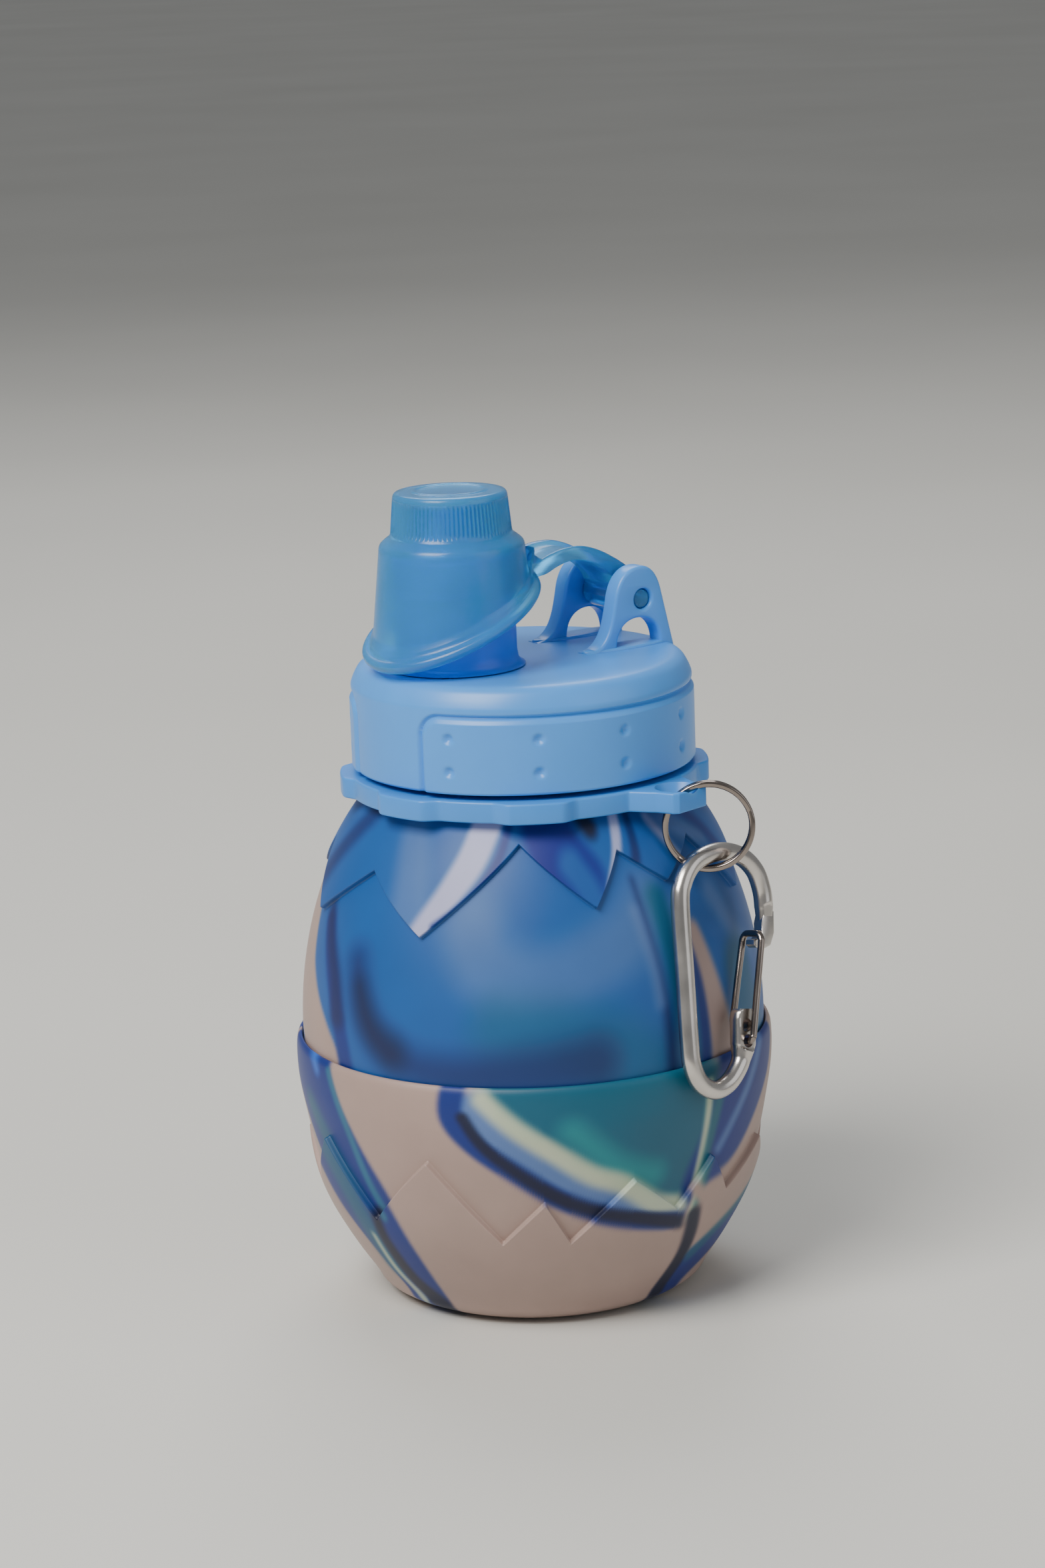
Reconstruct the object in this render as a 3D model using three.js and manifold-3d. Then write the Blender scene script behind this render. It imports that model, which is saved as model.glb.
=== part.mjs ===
// Folding water bottle: an egg of soft silicone whose upper half rolls down into its lower half,
// with a threaded neck, a screw lid, a drinking spout under a hinged dust cap, and a wire-gate carabiner
// on a split ring. Millimetres, +Z up, origin at the centre of the base, on the surface it stands on.
// +X runs from the spout to the hinge ears; the lid's grip panels face -Y and +Y.

import * as THREE from "three";
import { mergeVertices } from "three/addons/utils/BufferGeometryUtils.js";
import Module from "manifold-3d";

const wasm = await Module();
wasm.setup();

// ---------------------------------------------------------------- driving dimensions

const SEGMENTS = 48; // facets round the large turned parts
const GAP = 0.3; // air between pieces that touch on the real bottle

// Egg: two half ellipsoids that share a parting line.
const CUP = { radius: 50, height: 62, centreZ: 51, wall: 2.6, rimZ: 55.9, ledgeZ: 52.6, floor: 3 };
const DOME = { radius: 48.5, height: 66, centreZ: 57, wall: 2.2, topZ: 106.8 };

// Neck: insert tube, silicone sleeve, collar ring.
const NECK = { bore: 24.6, sleeveIn: 27.2, body: 28, bottomZ: 101, topZ: 129 };
const FLANGE = { radius: 30.2, z: 113.2, thickness: 2 };
const SLEEVE = { inner: 27.5, outer: 29.55, bottomZ: 103, topZ: 112.9 };
const COLLAR = { bore: 29.9, valley: 36.4, lobe: 38.3, z: 107.2, thickness: 4.2, lobes: 8 };
const LUG = { angle: -77, end: 45.2, z: 106.8, thickness: 4, hole: 41.1, holeRadius: 3, countersink: 4.4 };
const THREAD = { pitch: 5, height: 1.7, root: 1.9, crest: 1.1, male: 117.4, turns: 1.8 };

// Lid.
const LID = { radius: 35.3, topRadius: 32.8, bottomZ: 112.4, sideZ: 129.6, topZ: 134.2, ceilingZ: 131.3 };
const LID_WALL = 2.4;
const LINER = { inner: 30.5, outer: 32.6, bottomZ: 113, topZ: 131 };
const GASKET = { inner: 24.8, outer: 29.2, z: 129.3, thickness: 1.6 };
const PANEL = { halfAngle: 71, bottomZ: 112.5, topZ: 128.2, inner: 34.1, outer: 35.7, gap: 0.55, corner: 4 };
const DIMPLE = { ball: 1.6, depth: 0.5, spacing: 30, rows: [117, 123.8] };

// Spout and dust cap share an axis; the pivot is the ears' pin line.
const SPOUT_X = -16;
const SPOUT = {
  bore: 4.5, stem: 9, boss: 12.5, bead: 13.1, beadZ: 150, shoulderZ: 157.6, nozzleBase: 7.6, nozzleTip: 6.5,
  tipZ: 167.5,
};
const PIVOT = { x: 24, z: 144 };
const EAR = { inner: 6.7, thickness: 4.2, hole: 2.15 };
const RIM = { z: 143.9, slope: 0.45 }; // oblique lower edge of the dust cap, at the spout's axis
const CAP_TOP_Z = 170.4;
const STRAP = { halfWidth: 6, barrel: 3.3, trunnion: 1.8, trunnionEnd: 9.9 };

// Split ring and carabiner. The upright plane that the ring lies in is turned 35 degrees from the lid axis.
const HANG_TURN = -35;
const RING = { x: 36.7, y: -27.7, z: 103, radius: 8.8, radial: 0.65, axial: 0.5, pitch: 1.12, endAngle: 20 };
const CARABINER = { z: 97, yaw: 42, tilt: 10.5, lean: 7, tube: 1.95, flat: 1.45 };
const GATE = { x: 6.05, z: -36.6, topX: 10.5, topZ: -16.7, wire: 0.65, offset: 1.6, hole: 1.45, spread: 2.8 };

// ---------------------------------------------------------------- helpers

const degrees = THREE.MathUtils.degToRad;

// A closed geometry as a manifold-3d solid, turned right side out, without triangles of no area.
function solidOf(geometry) {
  const bare = geometry.index ? geometry.toNonIndexed() : geometry.clone();
  bare.deleteAttribute("normal");
  bare.deleteAttribute("uv");
  const merged = mergeVertices(bare, 1e-4);
  const corners = [];
  for (let i = 0; i < merged.index.count; i += 3) {
    const [a, b, c] = merged.index.array.slice(i, i + 3);
    if (a !== b && b !== c && c !== a) corners.push([a, b, c]);
  }
  const make = (triangles) => new wasm.Manifold(new wasm.Mesh({
    numProp: 3,
    vertProperties: merged.attributes.position.array,
    triVerts: new Uint32Array(triangles.flat()),
  }));
  const made = make(corners);
  return made.volume() > 0 ? made : make(corners.map(([a, b, c]) => [a, c, b]));
}

function geometryOf(solid) {
  const mesh = solid.getMesh();
  const positions = new Float32Array(mesh.numVert * 3);
  for (let i = 0; i < mesh.numVert; i++) {
    positions.set(mesh.vertProperties.subarray(i * mesh.numProp, i * mesh.numProp + 3), i * 3);
  }
  const geometry = new THREE.BufferGeometry();
  geometry.setAttribute("position", new THREE.BufferAttribute(positions, 3));
  geometry.setIndex(new THREE.BufferAttribute(mesh.triVerts, 1));
  geometry.computeVertexNormals();
  return geometry;
}

// A profile of [radius, z] points turned about the Z axis through (x, 0).
function turned(profile, { x = 0, segments = SEGMENTS } = {}) {
  const points = profile.map(([r, z]) => new THREE.Vector2(r, z));
  const geometry = new THREE.LatheGeometry(points, segments);
  geometry.rotateX(Math.PI / 2);
  geometry.translate(x, 0, 0);
  return solidOf(geometry);
}

const closed = (profile) => [...profile, profile[0]];

function ring(inner, outer, bottom, top) {
  return turned(closed([[inner, bottom], [outer, bottom], [outer, top], [inner, top]]));
}

function cylinder(radius, length, segments = 32) {
  return new THREE.CylinderGeometry(radius, radius, length, segments);
}

// A shape drawn in X and Y, extruded up from z.
function plate(shape, z, thickness, bevel = 0) {
  const geometry = new THREE.ExtrudeGeometry(shape, {
    depth: thickness - 2 * bevel,
    bevelEnabled: bevel > 0,
    bevelSize: bevel,
    bevelOffset: -bevel,
    bevelThickness: bevel,
    bevelSegments: 1,
    curveSegments: 8,
  });
  geometry.translate(0, 0, z + bevel);
  return geometry;
}

// A plate drawn in X and Z, standing across Y from low to high.
function upright(shape, low, high, bevel = 0) {
  const geometry = plate(shape, 0, high - low, bevel);
  geometry.rotateX(Math.PI / 2);
  geometry.translate(0, high, 0);
  return geometry;
}

// A tube along a curve.
function tube(curve, radius, sides, steps) {
  const section = new THREE.Shape();
  section.absarc(0, 0, radius, 0, 2 * Math.PI);
  return new THREE.ExtrudeGeometry(section, {
    extrudePath: curve,
    steps,
    curveSegments: sides,
    bevelEnabled: false,
  });
}

// A skin over rows of points, each row a closed loop. Rows join end to end, or are capped.
function loft(rows, joined = false) {
  const count = rows[0].length;
  const positions = rows.flat(2);
  const faces = [];
  const last = joined ? rows.length : rows.length - 1;
  for (let i = 0; i < last; i++) {
    const a = i * count;
    const b = ((i + 1) % rows.length) * count;
    for (let j = 0; j < count; j++) {
      const k = (j + 1) % count;
      faces.push(a + j, b + j, b + k, a + j, b + k, a + k);
    }
  }
  if (!joined) {
    const end = (rows.length - 1) * count;
    for (let j = 1; j < count - 1; j++) {
      faces.push(0, j, j + 1);
      faces.push(end, end + j + 1, end + j);
    }
  }
  const geometry = new THREE.BufferGeometry();
  geometry.setAttribute("position", new THREE.Float32BufferAttribute(positions, 3));
  geometry.setIndex(faces);
  return solidOf(geometry);
}

// A helical thread ridge that stands outwards (height > 0) or inwards (height < 0) from a wall.
function threadRidge(wall, height, startZ, turns) {
  const steps = Math.round(turns * 20);
  const half = THREAD.root / 2;
  const crest = THREAD.crest / 2;
  const bite = -Math.sign(height) * 0.4; // buried in the wall, so that the union is solid
  const section = [[bite, -half], [height, -crest], [height, crest], [bite, half]];
  const rows = [];
  for (let i = 0; i <= steps; i++) {
    const turn = (i / steps) * turns * 2 * Math.PI;
    const z = startZ + (turn / (2 * Math.PI)) * THREAD.pitch;
    rows.push(section.map(([out, up]) => [
      (wall + out) * Math.cos(turn), (wall + out) * Math.sin(turn), z + up,
    ]));
  }
  return loft(rows);
}

const materials = {
  silicone: new THREE.MeshStandardMaterial({ color: 0x2f7fb5, roughness: 0.6, metalness: 0 }),
  lid: new THREE.MeshStandardMaterial({ color: 0x6fb2e4, roughness: 0.4, metalness: 0 }),
  clear: new THREE.MeshStandardMaterial({ color: 0x3fa3dc, roughness: 0.25, metalness: 0 }),
  seal: new THREE.MeshStandardMaterial({ color: 0xe8eef2, roughness: 0.6, metalness: 0 }),
  steel: new THREE.MeshStandardMaterial({ color: 0xb9b4ae, roughness: 0.15, metalness: 1 }),
  aluminium: new THREE.MeshStandardMaterial({ color: 0xc9c6c2, roughness: 0.25, metalness: 1 }),
};

const bottle = new THREE.Group();

function add(name, solid, material, parent = bottle) {
  const mesh = new THREE.Mesh(geometryOf(solid), material);
  mesh.name = name;
  parent.add(mesh);
  return mesh;
}

// ---------------------------------------------------------------- the silicone egg

// Radius of a half ellipsoid at height z, grown by an offset normal to it (negative goes inwards).
function eggRadius(egg, z, offset = 0) {
  const share = (z - egg.centreZ) / (egg.height + offset);
  return (egg.radius + offset) * Math.sqrt(Math.max(0, 1 - share * share));
}

function eggArc(egg, fromZ, toZ, offset, steps) {
  return Array.from({ length: steps + 1 }, (_, i) => {
    const z = THREE.MathUtils.lerp(fromZ, toZ, i / steps);
    return [eggRadius(egg, z, offset), z];
  });
}

const cupRim = [
  [CUP.radius, 53.6], [CUP.radius - 0.3, 55.1], [CUP.radius - 0.9, CUP.rimZ], [DOME.radius + 0.3, 55.5],
  [DOME.radius + 0.2, CUP.ledgeZ],
];
add("lower_cup", turned([
  [0, 0], [26.6, 0], [28.9, 0.7],
  ...eggArc(CUP, 2.2, CUP.centreZ, 0, 9),
  ...cupRim,
  [47.2, CUP.ledgeZ - 0.2],
  ...eggArc(CUP, CUP.centreZ, 7, -CUP.wall, 7),
  [29, CUP.floor + 0.6], [25, CUP.floor], [0, CUP.floor],
]), materials.silicone);

const domeBottom = CUP.ledgeZ + GAP;
const domeSkirt = 58; // below this the dome's wall runs straight down inside the cup's rim
const domeInner = eggArc(DOME, DOME.topZ, domeSkirt, -DOME.wall, 7)
  .map(([r, z]) => [Math.max(r, COLLAR.bore), z]);
add("upper_dome", turned(closed([
  [DOME.radius - 0.1, domeBottom], ...eggArc(DOME, domeSkirt, DOME.topZ, 0, 9), ...domeInner,
  [DOME.radius - DOME.wall, domeBottom],
])), materials.silicone);

add("neck_sleeve", ring(SLEEVE.inner, SLEEVE.outer, SLEEVE.bottomZ, SLEEVE.topZ), materials.silicone);

// ---------------------------------------------------------------- neck insert and collar ring

const insertTube = turned(closed([
  [NECK.bore, NECK.bottomZ], [NECK.sleeveIn, NECK.bottomZ], [NECK.sleeveIn, FLANGE.z],
  [FLANGE.radius, FLANGE.z], [FLANGE.radius, FLANGE.z + FLANGE.thickness],
  [NECK.body, FLANGE.z + FLANGE.thickness], [NECK.body, NECK.topZ], [NECK.bore, NECK.topZ],
]));
const maleThread = threadRidge(NECK.body, THREAD.height, THREAD.male, THREAD.turns);
add("threaded_neck", insertTube.add(maleThread), materials.lid);

// Eight flat-topped lobes round the rim; the lug stands on one of them.
function collarOutline() {
  const shape = new THREE.Shape();
  const steps = 64;
  for (let i = 0; i < steps; i++) {
    const angle = (i / steps) * 2 * Math.PI;
    const wave = 0.45 + 1.1 * Math.cos(COLLAR.lobes * (angle - degrees(LUG.angle)));
    const r = THREE.MathUtils.lerp(COLLAR.valley, COLLAR.lobe, THREE.MathUtils.clamp(wave, 0, 1));
    shape[i ? "lineTo" : "moveTo"](r * Math.cos(angle), r * Math.sin(angle));
  }
  return shape;
}

function lugOutline() {
  const half = [[32.5, 9.5], [37.2, 7.6], [40.5, 6], [44.3, 5.2], [LUG.end, 4.2]];
  const shape = new THREE.Shape(half.map(([x, y]) => new THREE.Vector2(x, -y)));
  half.toReversed().forEach(([x, y]) => shape.lineTo(x, y));
  return shape;
}

const collarPlate = solidOf(plate(collarOutline(), COLLAR.z, COLLAR.thickness, 0.4));
const lugPlate = solidOf(
  plate(lugOutline(), LUG.z, LUG.thickness, 0.4).rotateZ(degrees(LUG.angle)),
);
const collarBore = solidOf(
  cylinder(COLLAR.bore, 12, SEGMENTS).rotateX(Math.PI / 2).translate(0, 0, COLLAR.z + 2),
);
const countersinkDepth = 1.9;
const lugHole = turned([
  [0, LUG.z - 1], [LUG.holeRadius, LUG.z - 1], [LUG.holeRadius, LUG.z + LUG.thickness - countersinkDepth],
  [LUG.countersink, LUG.z + LUG.thickness], [LUG.countersink + 0.7, LUG.z + LUG.thickness + 1.2],
  [0, LUG.z + LUG.thickness + 1.2],
], { segments: 28 }).translate([
  LUG.hole * Math.cos(degrees(LUG.angle)), LUG.hole * Math.sin(degrees(LUG.angle)), 0,
]);
add("collar_ring", collarPlate.add(lugPlate).subtract(collarBore).subtract(lugHole), materials.lid);

// ---------------------------------------------------------------- lid

add("lid_gasket", ring(GASKET.inner, GASKET.outer, GASKET.z, GASKET.z + GASKET.thickness), materials.seal);

const linerTube = ring(LINER.inner, LINER.outer, LINER.bottomZ, LINER.topZ);
const femaleThread = threadRidge(LINER.inner, -THREAD.height, THREAD.male + THREAD.pitch / 2, 1.2);
add("lid_liner", linerTube.add(femaleThread), materials.lid);

// The lid's top edge is a broad soft bevel.
const lidInner = LID.radius - LID_WALL;
const lidBody = turned([
  [0, LID.ceilingZ], [lidInner, LID.ceilingZ], [lidInner, LID.bottomZ],
  [LID.radius - 0.5, LID.bottomZ], [LID.radius, LID.bottomZ + 0.5],
  [LID.radius, LID.sideZ - 0.6], [LID.radius - 0.25, LID.sideZ + 0.4],
  [LID.topRadius + 0.7, LID.topZ - 0.9], [LID.topRadius - 0.3, LID.topZ - 0.15],
  [LID.topRadius - 1.4, LID.topZ], [0, LID.topZ],
]);

// An arc-shaped block between two radii, two heights and two angles, with its upper corners clipped.
function arcBlock(inner, outer, bottom, top, from, to, corner = 0) {
  const steps = 24;
  const rows = [];
  const clip = THREE.MathUtils.radToDeg(corner / outer);
  const stops = [from, from + clip * 0.3, from + clip];
  for (let i = 1; i < steps; i++) stops.push(THREE.MathUtils.lerp(from + clip, to - clip, i / steps));
  stops.push(to - clip, to - clip * 0.3, to);
  for (const angle of corner ? stops : [from, ...stops.slice(3, -3), to]) {
    const edge = Math.min(angle - from, to - angle);
    const drop = corner && edge < clip ? corner * (1 - Math.sqrt(1 - (1 - edge / clip) ** 2)) : 0;
    const [c, s] = [Math.cos(degrees(angle)), Math.sin(degrees(angle))];
    rows.push([[inner, bottom], [outer, bottom], [outer, top - drop], [inner, top - drop]]
      .map(([r, z]) => [r * c, r * s, z]));
  }
  return loft(rows);
}

const earOutline = new THREE.Shape();
earOutline.moveTo(PIVOT.x - 14.5, 132.4);
earOutline.lineTo(PIVOT.x - 14.5, 134.3);
earOutline.bezierCurveTo(PIVOT.x - 9.2, 134.6, PIVOT.x - 8.2, 139.5, PIVOT.x - 7.2, 144.2);
earOutline.bezierCurveTo(PIVOT.x - 6.4, 148.8, PIVOT.x - 3.9, 151, PIVOT.x - 0.6, 151);
earOutline.bezierCurveTo(PIVOT.x + 2.6, 151, PIVOT.x + 4.2, 148.6, PIVOT.x + 5, 145);
earOutline.lineTo(PIVOT.x + 7.9, 133.2);
earOutline.lineTo(PIVOT.x + 7.4, 132.4);
const pinHole = new THREE.Path();
pinHole.absarc(PIVOT.x, PIVOT.z, EAR.hole, 0, 2 * Math.PI);
const archHole = new THREE.Path();
archHole.moveTo(PIVOT.x + 4.2, 134.6);
archHole.bezierCurveTo(PIVOT.x + 4, 138.4, PIVOT.x + 1.9, 140.2, PIVOT.x - 1.3, 140.2);
archHole.bezierCurveTo(PIVOT.x - 4.4, 140.2, PIVOT.x - 6.6, 138.4, PIVOT.x - 6.9, 134.6);
earOutline.holes.push(pinHole, archHole);
const ears = [-1, 1].map((side) => {
  const low = side > 0 ? EAR.inner : -EAR.inner - EAR.thickness;
  return solidOf(upright(earOutline, low, low + EAR.thickness));
});

const spoutSocket = turned([[0, LID.ceilingZ - 1], [SPOUT.stem + GAP, LID.ceilingZ - 1],
  [SPOUT.stem + GAP, LID.topZ + 1], [0, LID.topZ + 1]], { x: SPOUT_X, segments: 40 });
const panelRecess = (middle) => arcBlock(PANEL.inner - PANEL.gap / 2, LID.radius + 2, LID.bottomZ - 1,
  PANEL.topZ + PANEL.gap, middle - PANEL.halfAngle - 1, middle + PANEL.halfAngle + 1, PANEL.corner + PANEL.gap);
let lidShell = lidBody.add(ears[0]).add(ears[1]).subtract(spoutSocket);
for (const middle of [-90, 90]) lidShell = lidShell.subtract(panelRecess(middle));
add("lid_shell", lidShell, materials.lid);

for (const [name, middle] of [["grip_panel_front", -90], ["grip_panel_back", 90]]) {
  let panel = arcBlock(PANEL.inner, PANEL.outer, PANEL.bottomZ, PANEL.topZ,
    middle - PANEL.halfAngle, middle + PANEL.halfAngle, PANEL.corner);
  for (let column = -2; column <= 2; column++) {
    for (const z of DIMPLE.rows) {
      const angle = degrees(middle + column * DIMPLE.spacing);
      const reach = PANEL.outer + DIMPLE.ball - DIMPLE.depth;
      const ball = new THREE.SphereGeometry(DIMPLE.ball, 8, 6)
        .translate(reach * Math.cos(angle), reach * Math.sin(angle), z);
      panel = panel.subtract(solidOf(ball));
    }
  }
  add(name, panel, materials.lid);
}

// ---------------------------------------------------------------- spout and dust cap

const { bore, stem, boss, bead, beadZ, shoulderZ, nozzleBase, nozzleTip, tipZ } = SPOUT;
const seatZ = LID.topZ + GAP;
add("drink_spout", turned(closed([
  [bore, LID.ceilingZ - 0.1], [stem, LID.ceilingZ - 0.1], [stem, seatZ], [boss + 0.3, seatZ],
  [boss, seatZ + 1.5], [boss, beadZ - 1.4], [bead, beadZ - 0.5], [bead, beadZ + 0.5], [boss, beadZ + 1.4],
  [boss, shoulderZ - 0.6], [boss - 0.6, shoulderZ], [nozzleBase, shoulderZ + 0.4], [nozzleTip, tipZ - 0.6],
  [nozzleTip - 0.6, tipZ], [bore, tipZ],
]), { x: SPOUT_X, segments: 36 }), materials.lid);

const capOuter = [
  [17.7, 128], [16.9, 140], [14.85, 159.5], [12.4, 161.7], [11.75, 169.2], [11.3, 170.1], [10.5, CAP_TOP_Z],
];
const capInner = [[16.45, 128], [15.6, 140], [13.6, 158.9], [10.85, 161.2], [10.4, 168.8]];
const capSolid = turned([[0, 128], ...capOuter, [0, CAP_TOP_Z]], { x: SPOUT_X, segments: 36 });
const capHollow = turned([[0, 127], [16.5, 127], ...capInner, [0, 168.8]], { x: SPOUT_X, segments: 36 });

// Everything under the oblique rim plane.
const rimZ = (x) => RIM.z + RIM.slope * (x - SPOUT_X);
const belowRim = new THREE.Shape([
  new THREE.Vector2(-60, 100), new THREE.Vector2(40, 100),
  new THREE.Vector2(40, rimZ(40)), new THREE.Vector2(-60, rimZ(-60)),
]);
const rimCut = solidOf(upright(belowRim, -40, 40));

// A round bead that follows the oblique rim.
const capRadiusAt = (z) => THREE.MathUtils.mapLinear(z, 140, 159.5, 16.9, 14.85);
function rimBead() {
  const steps = 36;
  const rows = [];
  for (let i = 0; i < steps; i++) {
    const angle = (i / steps) * 2 * Math.PI;
    const [c, s] = [Math.cos(angle), Math.sin(angle)];
    let z = RIM.z;
    for (let pass = 0; pass < 4; pass++) z = rimZ(SPOUT_X + capRadiusAt(z) * c);
    const wall = capRadiusAt(z);
    rows.push([[-1.2, -0.2], [0.9, -0.9], [1.7, 0], [1.7, 1.1], [0.9, 1.9], [-0.4, 1.9]].map(([out, up]) => [
      SPOUT_X + (wall + out) * c, (wall + out) * s, z + up,
    ]));
  }
  return loft(rows, true);
}

// Side view of the strap, from the cap's wall over its arch to the barrel round the pin line.
const strapOutline = new THREE.Shape();
strapOutline.moveTo(-2.6, 157.2);
strapOutline.bezierCurveTo(-0.6, 156.6, 0.2, 154.6, 2.6, 154.5);
strapOutline.bezierCurveTo(6, 156.4, 13.5, 156.8, 19, 153.7);
strapOutline.bezierCurveTo(23, 151.2, PIVOT.x + 3, 148.5, PIVOT.x + STRAP.barrel, PIVOT.z);
strapOutline.absarc(PIVOT.x, PIVOT.z, STRAP.barrel, 0, -Math.PI, true);
strapOutline.bezierCurveTo(PIVOT.x - 3.6, 147, 18.4, 149.6, 14.6, 151.6);
strapOutline.bezierCurveTo(9.5, 153.6, 4.6, 153, 0.4, 150.4);
strapOutline.lineTo(-2.2, 149.8);
const strapPlate = solidOf(upright(strapOutline, -STRAP.halfWidth, STRAP.halfWidth));
const trunnions = solidOf(cylinder(STRAP.trunnion, 2 * STRAP.trunnionEnd, 24).translate(PIVOT.x, 0, PIVOT.z));
const dustCap = capSolid.add(strapPlate).subtract(capHollow).subtract(rimCut.subtract(strapPlate))
  .add(rimBead().subtract(capHollow)).add(trunnions);
add("dust_cap", dustCap, materials.clear);

// ---------------------------------------------------------------- split ring and carabiner

// Things hung from the lug are drawn in X and Z, facing -Y, and then turned into place.
const hanging = new THREE.Group();
hanging.rotation.z = degrees(HANG_TURN);
bottle.add(hanging);

// Two close turns of flat wire.
function splitRing() {
  const steps = 56;
  const rows = [];
  const section = [[-RING.radial, -RING.axial], [RING.radial, -RING.axial],
    [RING.radial, RING.axial], [-RING.radial, RING.axial]];
  for (let i = 0; i <= steps; i++) {
    const turn = (i / steps) * 4 * Math.PI + degrees(RING.endAngle);
    const along = THREE.MathUtils.smoothstep(i / steps, 0.42, 0.58) * RING.pitch - RING.pitch / 2;
    rows.push(section.map(([out, across]) => [
      RING.x + (RING.radius + out) * Math.cos(turn), RING.y + along + across,
      RING.z + (RING.radius + out) * Math.sin(turn),
    ]));
  }
  return loft(rows);
}
add("split_ring", splitRing(), materials.steel, hanging);

// The carabiner's own plane: X to the gate, Z up, origin where its bow crosses the ring.
const clip = new THREE.Group();
clip.position.set(RING.x, RING.y, CARABINER.z);
clip.rotation.set(-degrees(CARABINER.tilt), 0, degrees(CARABINER.yaw), "ZXY");
hanging.add(clip);
const leaned = new THREE.Group();
leaned.rotation.y = degrees(CARABINER.lean);
clip.add(leaned);

const frameLine = new THREE.CatmullRomCurve3([
  [5.7, -39.4], [4.2, -43.2], [0.9, -46.3], [-3, -47.3], [-6.6, -45.6], [-8.6, -42], [-9, -37], [-9, -23],
  [-9, -9.5], [-8, -5.2], [-5.2, -1.7], [-1, 0], [3.9, 0.4], [8.8, -0.9], [12.4, -4], [14, -8], [14.3, -12.6],
].map(([x, z]) => new THREE.Vector3(x, 0, z)), false, "centripetal");
const clipTube = solidOf(tube(frameLine, CARABINER.tube, 4, 44));

// The flattened end that carries the gate, and the nose with its hook.
function flatPiece(points) {
  const shape = new THREE.Shape(points.map(([x, z]) => new THREE.Vector2(x, z)));
  return solidOf(upright(shape, -CARABINER.flat, CARABINER.flat, 0.25));
}
const gateBlock = flatPiece([
  [3.4, -40.8], [3.5, -34], [4.4, -31.9], [6.6, -31.2], [8.6, -32.3], [8.9, -35], [7.9, -41.2], [5.6, -42.4],
]);
const noseHook = flatPiece([
  [12.6, -11], [16, -11], [15.6, -17], [14.2, -19.5], [10.4, -19.6], [9.7, -18.9], [9.8, -18],
  [11.4, -17.8], [12.3, -16.8],
]);
let frame = clipTube.add(gateBlock).add(noseHook);
for (const side of [-1, 1]) {
  const hole = cylinder(GATE.hole, 8, 20).translate(GATE.x, 0, GATE.z + side * GATE.offset);
  frame = frame.subtract(solidOf(hole));
}
add("carabiner_frame", frame, materials.aluminium, leaned);

// One bent wire: into the upper hole behind, up, across inside the nose, down, into the lower hole in front.
function gateWire() {
  const { x, z, topX, topZ, offset, spread } = GATE;
  const leg = (side) => {
    const holeZ = z + side * offset;
    const y = side * spread;
    return [
      [x, side * 0.5, holeZ], [x, side * (spread - 0.9), holeZ], [x + 0.25, y, holeZ + 1.1],
      [THREE.MathUtils.lerp(x, topX, 0.55), y, THREE.MathUtils.lerp(holeZ, topZ, 0.5)],
      [topX - 0.3, y, topZ - 1.6], [topX, side * (spread - 0.8), topZ],
    ];
  };
  const points = [...leg(1), [topX, 0, topZ + 0.05], ...leg(-1).toReversed()];
  const path = new THREE.CatmullRomCurve3(points.map((p) => new THREE.Vector3(...p)), false, "centripetal");
  return solidOf(tube(path, GATE.wire, 3, 56));
}
add("wire_gate", gateWire(), materials.steel, leaned);

export default bottle;
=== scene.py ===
"""Looks of the folding water bottle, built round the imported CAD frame. Metres, +Z up."""

import math

import bpy
import numpy as np
from mathutils import Matrix, Quaternion, Vector, noise


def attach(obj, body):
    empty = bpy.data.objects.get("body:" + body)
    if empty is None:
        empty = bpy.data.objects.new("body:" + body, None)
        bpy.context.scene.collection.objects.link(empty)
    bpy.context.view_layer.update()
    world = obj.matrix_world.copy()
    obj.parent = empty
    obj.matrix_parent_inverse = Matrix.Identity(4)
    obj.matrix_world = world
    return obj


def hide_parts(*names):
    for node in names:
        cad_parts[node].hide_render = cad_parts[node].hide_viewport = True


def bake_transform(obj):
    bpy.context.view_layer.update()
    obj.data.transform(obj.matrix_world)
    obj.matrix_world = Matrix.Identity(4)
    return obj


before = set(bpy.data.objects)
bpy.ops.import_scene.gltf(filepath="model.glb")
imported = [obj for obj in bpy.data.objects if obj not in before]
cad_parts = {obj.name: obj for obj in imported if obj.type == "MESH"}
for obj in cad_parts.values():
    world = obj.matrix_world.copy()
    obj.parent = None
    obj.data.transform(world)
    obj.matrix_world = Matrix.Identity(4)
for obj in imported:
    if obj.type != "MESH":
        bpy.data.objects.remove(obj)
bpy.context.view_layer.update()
MM = 0.001

# ---------------------------------------------------------------- camera

CAMERA_AZIMUTH = -35  # degrees; the camera stands on the side of the lug
CAMERA_ELEVATION = 14.34
CAMERA_DISTANCE = 0.85
CAMERA_ROLL = 2.09
LENS = 93.25
PITCH_UP = 1.43  # the object sits a little below the middle of the picture
YAW = 0.035


def make_camera():
    a, e = math.radians(CAMERA_AZIMUTH), math.radians(CAMERA_ELEVATION)
    back = Vector((math.sin(a) * math.cos(e), -math.cos(a) * math.cos(e), math.sin(e)))
    target = Vector((0, 0, 85 * MM))
    data = bpy.data.cameras.new("camera")
    data.lens = LENS
    data.sensor_width = 36
    data.clip_start = 0.05
    camera = bpy.data.objects.new("camera", data)
    bpy.context.scene.collection.objects.link(camera)
    camera.location = target + back * CAMERA_DISTANCE
    turn = (-back).to_track_quat("-Z", "Y")
    camera.rotation_mode = "QUATERNION"
    roll = Quaternion((0, 0, 1), math.radians(-CAMERA_ROLL))
    pitch = Quaternion((1, 0, 0), math.radians(PITCH_UP))
    yaw = Quaternion((0, 1, 0), math.radians(YAW))
    camera.rotation_quaternion = turn @ yaw @ pitch @ roll
    bpy.context.scene.camera = camera
    return camera


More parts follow.
